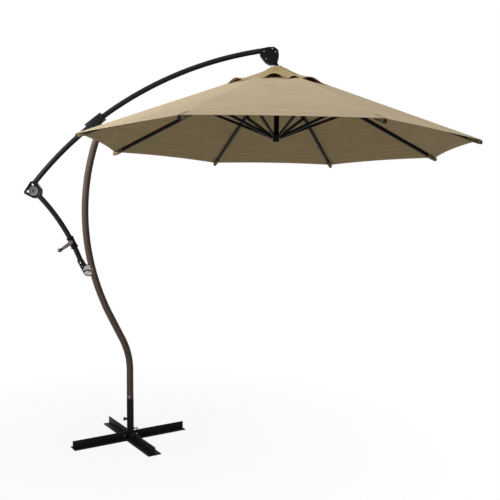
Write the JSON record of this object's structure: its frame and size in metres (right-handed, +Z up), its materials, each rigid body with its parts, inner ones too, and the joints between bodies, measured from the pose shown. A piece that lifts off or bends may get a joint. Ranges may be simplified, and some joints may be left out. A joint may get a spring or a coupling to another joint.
{
  "type": "offset patio umbrella",
  "caption": "Offset patio umbrella: cross base of steel tees, curved mast with boom and strut, crank, tilting head and an octagonal vented cloth canopy that folds.",
  "frame": {"origin": "on the floor under the middle of the post, at the crossing of the base beams", "axes": "+X from the post towards the canopy, +Z up, +Y to the left when looking along +X"},
  "size_m": [2.868, 2.4028, 2.6256],
  "materials": {
    "black_steel": "satin black powder coat",
    "bolt_steel": "zinc plated",
    "bushing_nylon": "black nylon",
    "black_plastic": "moulded, fine grain",
    "bronze_steel": "satin bronze powder coat",
    "bronze_boom": "satin dark bronze powder coat",
    "button_steel": "bright",
    "black_casting": "satin black",
    "disc_grey": "satin grey",
    "crank_taupe": "satin taupe",
    "frame_dark": "satin black powder coat",
    "canopy_cloth": "woven beige acrylic cloth"
  },
  "bodies": {
    "base": {"base_beam_long": "black_steel", "base_beam_short": "black_steel", "corner_brackets": "black_steel", "base_post": "black_steel", "base_bolts": "bolt_steel", "post_bushing": "bushing_nylon"},
    "post_lock": {"post_lock_knob": "black_plastic"},
    "mast": {"mast_spigot": "bronze_steel", "mast_tube": "bronze_steel", "boom_tube": "bronze_boom", "strut_upper_tube": "bronze_boom", "strut_lower_tube": "bronze_boom", "elbow_casting": "black_casting", "strut_eye": "black_casting", "strut_foot": "black_casting", "mast_lug": "black_casting", "knuckle_discs": "disc_grey", "saddle_front": "black_casting", "saddle_rear": "black_casting", "knuckle_bolts": "bolt_steel", "crank_housing_front": "black_casting", "crank_housing_rear": "black_casting", "head_shell_front": "black_casting", "head_shell_rear": "black_casting", "head_axle": "bolt_steel"},
    "button": {"mast_button": "button_steel"},
    "crank": {"crank_shaft": "crank_taupe", "crank_arm": "crank_taupe"},
    "grip": {"crank_grip": "black_plastic"},
    "pulley": {"head_pulley": "black_plastic"},
    "canopy_head": {"tilt_fork": "black_casting", "upper_hub": "black_casting", "hub_pins": "bolt_steel"},
    "tilt_lock": {"tilt_knob": "black_plastic"},
    "rib_1": {"rib_1": "frame_dark", "canopy_panel_1": "canopy_cloth"},
    "link_1": {"link_1": "frame_dark"},
    "rib_2": {"rib_2": "frame_dark", "canopy_panel_2": "canopy_cloth"},
    "link_2": {"link_2": "frame_dark"},
    "rib_3": {"rib_3": "frame_dark", "canopy_panel_3": "canopy_cloth"},
    "link_3": {"link_3": "frame_dark"},
    "rib_4": {"rib_4": "frame_dark", "canopy_panel_4": "canopy_cloth"},
    "link_4": {"link_4": "frame_dark"},
    "rib_5": {"rib_5": "frame_dark", "canopy_panel_5": "canopy_cloth"},
    "link_5": {"link_5": "frame_dark"},
    "rib_6": {"rib_6": "frame_dark", "canopy_panel_6": "canopy_cloth"},
    "link_6": {"link_6": "frame_dark"},
    "rib_7": {"rib_7": "frame_dark", "canopy_panel_7": "canopy_cloth"},
    "link_7": {"link_7": "frame_dark"},
    "rib_8": {"rib_8": "frame_dark", "canopy_panel_8": "canopy_cloth"},
    "link_8": {"link_8": "frame_dark"},
    "runner": {"runner": "frame_dark", "guide_tube": "frame_dark"}
  },
  "joints": [
    {"name": "mast_turn", "type": "hinge", "parent": "base", "child": "mast", "pos_m": [0, 0, 0.27], "axis": [0, 0, 1], "continuous": true},
    {"name": "post_lock_turn", "type": "hinge", "parent": "base", "child": "post_lock", "pos_m": [-0.023, 0, 0.133], "axis": [-1, 0, 0], "continuous": true},
    {"name": "button_press", "type": "slide", "parent": "mast", "child": "button", "axis": [0, 1, 0], "range_m": [0, 0.004], "stiffness_N_per_m": 300, "springref_m": -0.002},
    {"name": "canopy_tilt", "type": "hinge", "parent": "mast", "child": "canopy_head", "pos_m": [0.94601, 0, 2.562], "axis": [0, -1, 0], "range_deg": [0, 30]},
    {"name": "tilt_lock_turn", "type": "hinge", "parent": "canopy_head", "child": "tilt_lock", "pos_m": [1.00756, 0, 2.49074], "axis": [0.9998, 0, -0.0192], "continuous": true},
    {"name": "canopy_fold", "type": "hinge", "parent": "canopy_head", "child": "rib_1", "pos_m": [1.02584, 0.01339, 2.43537], "axis": [-0.3826, 0.9239, 0.0073], "range_deg": [0, 62.42], "deforming": ["canopy_panel_1"]},
    {"name": "link_fold_1", "type": "hinge", "parent": "rib_1", "child": "link_1", "pos_m": [1.48417, 0.20489, 2.22356], "axis": [-0.3826, 0.9239, 0.0073], "range_deg": [-124.84, 0]},
    {"name": "runner_slide", "type": "hinge", "parent": "link_1", "child": "runner", "pos_m": [1.01805, 0.01339, 2.0295], "axis": [-0.3826, 0.9239, 0.0073], "range_deg": [0, 62.42]},
    {"name": "rib_fold_2", "type": "hinge", "parent": "canopy_head", "child": "rib_2", "pos_m": [1.0069, 0.03234, 2.43574], "axis": [-0.9237, 0.3827, 0.0177], "range_deg": [0, 62.42], "deforming": ["canopy_panel_2"]},
    {"name": "link_fold_2", "type": "hinge", "parent": "rib_2", "child": "link_2", "pos_m": [1.19446, 0.49465, 2.22913], "axis": [-0.9237, 0.3827, 0.0177], "range_deg": [-124.84, 0]},
    {"name": "rib_fold_3", "type": "hinge", "parent": "canopy_head", "child": "rib_3", "pos_m": [0.98012, 0.03234, 2.43625], "axis": [-0.9237, -0.3827, 0.0177], "range_deg": [0, 62.42], "deforming": ["canopy_panel_3"]},
    {"name": "link_fold_3", "type": "hinge", "parent": "rib_3", "child": "link_3", "pos_m": [0.78476, 0.49465, 2.23699], "axis": [-0.9237, -0.3827, 0.0177], "range_deg": [-124.84, 0]},
    {"name": "rib_fold_4", "type": "hinge", "parent": "canopy_head", "child": "rib_4", "pos_m": [0.96118, 0.01339, 2.43662], "axis": [-0.3826, -0.9239, 0.0073], "range_deg": [0, 62.42], "deforming": ["canopy_panel_4"]},
    {"name": "link_fold_4", "type": "hinge", "parent": "rib_4", "child": "link_4", "pos_m": [0.49506, 0.20489, 2.24255], "axis": [-0.3826, -0.9239, 0.0073], "range_deg": [-124.84, 0]},
    {"name": "rib_fold_5", "type": "hinge", "parent": "canopy_head", "child": "rib_5", "pos_m": [0.96118, -0.01339, 2.43662], "axis": [0.3826, -0.9239, -0.0073], "range_deg": [0, 62.42], "deforming": ["canopy_panel_5"]},
    {"name": "link_fold_5", "type": "hinge", "parent": "rib_5", "child": "link_5", "pos_m": [0.49506, -0.20489, 2.24255], "axis": [0.3826, -0.9239, -0.0073], "range_deg": [-124.84, 0]},
    {"name": "rib_fold_6", "type": "hinge", "parent": "canopy_head", "child": "rib_6", "pos_m": [0.98012, -0.03234, 2.43625], "axis": [0.9237, -0.3827, -0.0177], "range_deg": [0, 62.42], "deforming": ["canopy_panel_6"]},
    {"name": "link_fold_6", "type": "hinge", "parent": "rib_6", "child": "link_6", "pos_m": [0.78476, -0.49465, 2.23699], "axis": [0.9237, -0.3827, -0.0177], "range_deg": [-124.84, 0]},
    {"name": "rib_fold_7", "type": "hinge", "parent": "canopy_head", "child": "rib_7", "pos_m": [1.0069, -0.03234, 2.43574], "axis": [0.9237, 0.3827, -0.0177], "range_deg": [0, 62.42], "deforming": ["canopy_panel_7"]},
    {"name": "link_fold_7", "type": "hinge", "parent": "rib_7", "child": "link_7", "pos_m": [1.19446, -0.49465, 2.22913], "axis": [0.9237, 0.3827, -0.0177], "range_deg": [-124.84, 0]},
    {"name": "rib_fold_8", "type": "hinge", "parent": "canopy_head", "child": "rib_8", "pos_m": [1.02584, -0.01339, 2.43537], "axis": [0.3826, 0.9239, -0.0073], "range_deg": [0, 62.42], "deforming": ["canopy_panel_8"]},
    {"name": "link_fold_8", "type": "hinge", "parent": "rib_8", "child": "link_8", "pos_m": [1.48417, -0.20489, 2.22356], "axis": [0.3826, 0.9239, -0.0073], "range_deg": [-124.84, 0]},
    {"name": "crank_turn", "type": "hinge", "parent": "mast", "child": "crank", "pos_m": [-0.38191, 0, 1.32788], "axis": [0, -1, 0], "range_deg": [0, 4260.4]},
    {"name": "grip_turn", "type": "hinge", "parent": "crank", "child": "grip", "pos_m": [-0.45358, -0.036, 1.2777], "axis": [0, -1, 0], "continuous": true},
    {"name": "pulley_turn", "type": "hinge", "parent": "mast", "child": "pulley", "pos_m": [0.94601, 0, 2.562], "axis": [0, -1, 0], "range_deg": [0, 1475.4]}
  ],
  "couplings": [
    {"joint": "link_fold_1", "follows": "canopy_fold", "ratio": -2},
    {"joint": "runner_slide", "follows": "canopy_fold", "ratio": 1},
    {"joint": "rib_fold_2", "follows": "canopy_fold", "ratio": 1},
    {"joint": "link_fold_2", "follows": "canopy_fold", "ratio": -2},
    {"joint": "rib_fold_3", "follows": "canopy_fold", "ratio": 1},
    {"joint": "link_fold_3", "follows": "canopy_fold", "ratio": -2},
    {"joint": "rib_fold_4", "follows": "canopy_fold", "ratio": 1},
    {"joint": "link_fold_4", "follows": "canopy_fold", "ratio": -2},
    {"joint": "rib_fold_5", "follows": "canopy_fold", "ratio": 1},
    {"joint": "link_fold_5", "follows": "canopy_fold", "ratio": -2},
    {"joint": "rib_fold_6", "follows": "canopy_fold", "ratio": 1},
    {"joint": "link_fold_6", "follows": "canopy_fold", "ratio": -2},
    {"joint": "rib_fold_7", "follows": "canopy_fold", "ratio": 1},
    {"joint": "link_fold_7", "follows": "canopy_fold", "ratio": -2},
    {"joint": "rib_fold_8", "follows": "canopy_fold", "ratio": 1},
    {"joint": "link_fold_8", "follows": "canopy_fold", "ratio": -2},
    {"joint": "crank_turn", "follows": "canopy_fold", "ratio": 68.238},
    {"joint": "pulley_turn", "follows": "canopy_fold", "ratio": 23.621}
  ]
}
